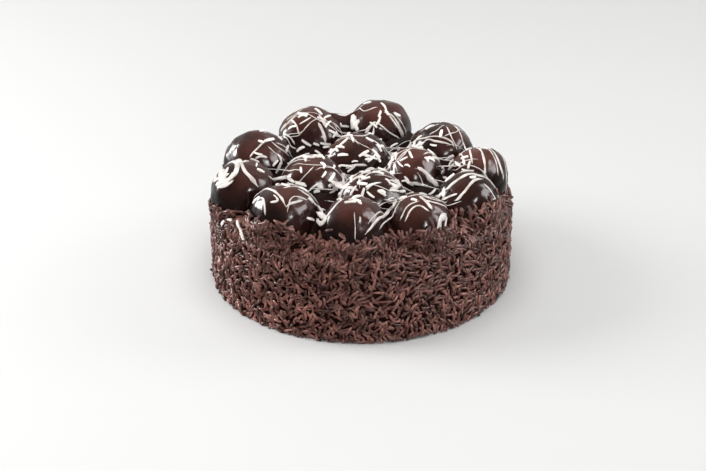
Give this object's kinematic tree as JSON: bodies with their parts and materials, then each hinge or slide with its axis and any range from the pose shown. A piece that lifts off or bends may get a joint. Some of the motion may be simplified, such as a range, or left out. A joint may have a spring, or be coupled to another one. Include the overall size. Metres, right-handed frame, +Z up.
{
  "type": "profiterole cake",
  "caption": "Round chocolate cake with its wall coated in chocolate vermicelli, topped with glazed choux buns, white chocolate drizzle and slivers.",
  "frame": {"origin": "middle of the flat base, on the cake's axis", "axes": "+Z up along the cake's axis, -Y towards the side that the picture shows, +X to that side's right"},
  "size_m": [0.2004, 0.2005, 0.0912],
  "materials": {
    "chocolate_vermicelli": "satin, rough with short chocolate strands",
    "chocolate_glaze": "glossy, smooth",
    "white_chocolate": "satin"
  },
  "bodies": {
    "root": {"cake_drum": "chocolate_vermicelli", "profiterole_01": "chocolate_glaze", "profiterole_02": "chocolate_glaze", "profiterole_03": "chocolate_glaze", "profiterole_04": "chocolate_glaze", "profiterole_05": "chocolate_glaze", "profiterole_06": "chocolate_glaze", "profiterole_07": "chocolate_glaze", "profiterole_08": "chocolate_glaze", "profiterole_09": "chocolate_glaze", "profiterole_10": "chocolate_glaze", "profiterole_11": "chocolate_glaze", "profiterole_12": "chocolate_glaze", "profiterole_13": "chocolate_glaze", "profiterole_14": "chocolate_glaze"}
  },
  "joints": []
}
